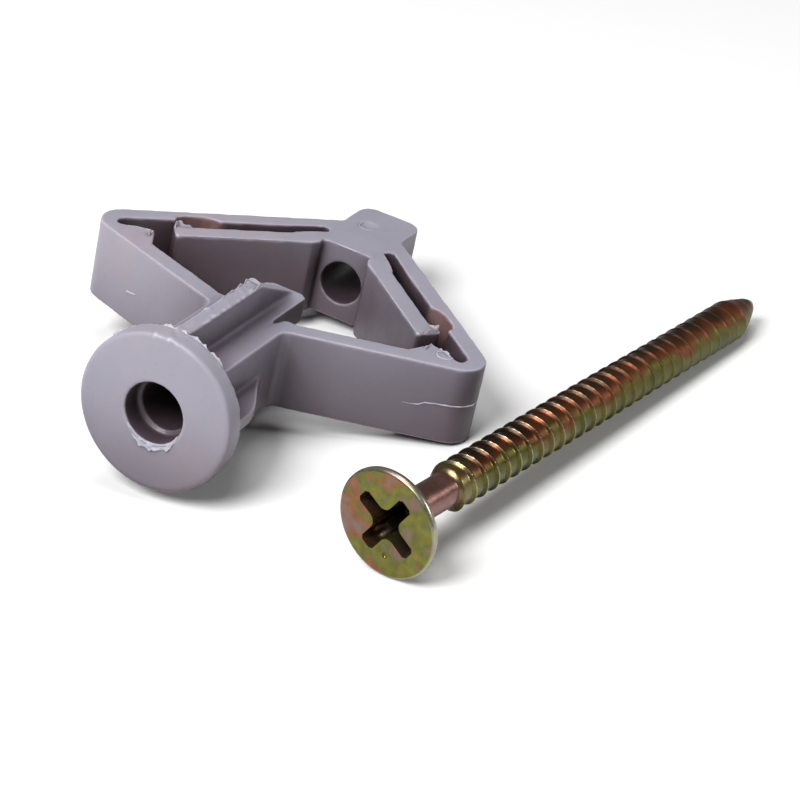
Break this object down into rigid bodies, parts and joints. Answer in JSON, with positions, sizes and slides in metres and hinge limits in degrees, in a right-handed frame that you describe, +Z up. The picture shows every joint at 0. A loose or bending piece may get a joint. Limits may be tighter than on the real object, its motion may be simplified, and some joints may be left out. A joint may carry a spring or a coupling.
{
  "type": "wall anchor",
  "caption": "Moulded plastic wall anchor with folding wings on living hinges, ribbed shank and flange, with a loose countersunk cross-recess screw.",
  "frame": {"origin": "centre of the pair's footprint, on the surface they lie on", "axes": "+X from the anchor's flange to its nut block, +Y to the anchor's left wing, +Z up from the surface; the anchor leans on its lower rib, right elbow and cap"},
  "size_m": [0.0531, 0.0509, 0.0145],
  "materials": {
    "plastic": "moulded polypropylene, mauve grey, soft sheen",
    "plastic_film": "same moulding where it is thin and lets light through",
    "zinc_steel": "yellow passivated zinc plate on steel"
  },
  "bodies": {
    "shank": {"flange": "plastic", "sleeve": "plastic", "rib_top": "plastic", "rib_bottom": "plastic", "side_rib_left": "plastic", "side_rib_right": "plastic", "root_hinge_left": "plastic_film", "root_hinge_right": "plastic_film"},
    "lower_leg_left": {"lower_leg_left": "plastic", "catch_left": "plastic", "elbow_hinge_left": "plastic_film"},
    "lower_leg_right": {"lower_leg_right": "plastic", "catch_right": "plastic", "elbow_hinge_right": "plastic_film"},
    "upper_leg_left": {"strap_left": "plastic", "strut_left": "plastic"},
    "upper_leg_right": {"strap_right": "plastic", "strut_right": "plastic"},
    "top_hinge_left": {"top_hinge_left": "plastic_film"},
    "nut_block": {"nut_block": "plastic", "top_hinge_right": "plastic_film"},
    "screw": {"screw": "zinc_steel"}
  },
  "joints": [
    {"name": "root_right", "type": "hinge", "parent": "shank", "child": "lower_leg_right", "pos_m": [-0.01095, 0.00365, 0.00602], "axis": [0.0998, -0.1199, 0.9878], "range_deg": [-14, 51], "stiffness_Nm_per_rad": 0.01},
    {"name": "elbow_right", "type": "hinge", "parent": "lower_leg_right", "child": "upper_leg_right", "pos_m": [-0.00195, -0.00856, 0.00362], "axis": [0.0998, -0.1199, 0.9878], "range_deg": [-102, 28]},
    {"name": "top_right", "type": "hinge", "parent": "upper_leg_right", "child": "nut_block", "pos_m": [0.00735, 0.00365, 0.00417], "axis": [0.0998, -0.1199, 0.9878], "range_deg": [-14, 51]},
    {"name": "root_left", "type": "hinge", "parent": "shank", "child": "lower_leg_left", "pos_m": [-0.01088, 0.01001, 0.00678], "axis": [0.0998, -0.1199, 0.9878], "range_deg": [-51, 14]},
    {"name": "elbow_left", "type": "hinge", "parent": "lower_leg_left", "child": "upper_leg_left", "pos_m": [-0.00157, 0.02222, 0.00732], "axis": [0.0998, -0.1199, 0.9878], "range_deg": [-28, 102]},
    {"name": "top_left", "type": "hinge", "parent": "upper_leg_left", "child": "top_hinge_left", "pos_m": [0.00743, 0.01001, 0.00493], "axis": [0.0998, -0.1199, 0.9878], "range_deg": [-51, 14]},
    {"name": "screw_lift", "type": "slide", "parent": "shank", "child": "screw", "axis": [0, 0, 1], "range_m": [0, 0.04]}
  ],
  "couplings": [
    {"joint": "elbow_right", "follows": "root_right", "ratio": -2},
    {"joint": "top_right", "follows": "root_right", "ratio": 1},
    {"joint": "root_left", "follows": "root_right", "ratio": -1},
    {"joint": "elbow_left", "follows": "root_right", "ratio": 2},
    {"joint": "top_left", "follows": "root_right", "ratio": -1}
  ]
}
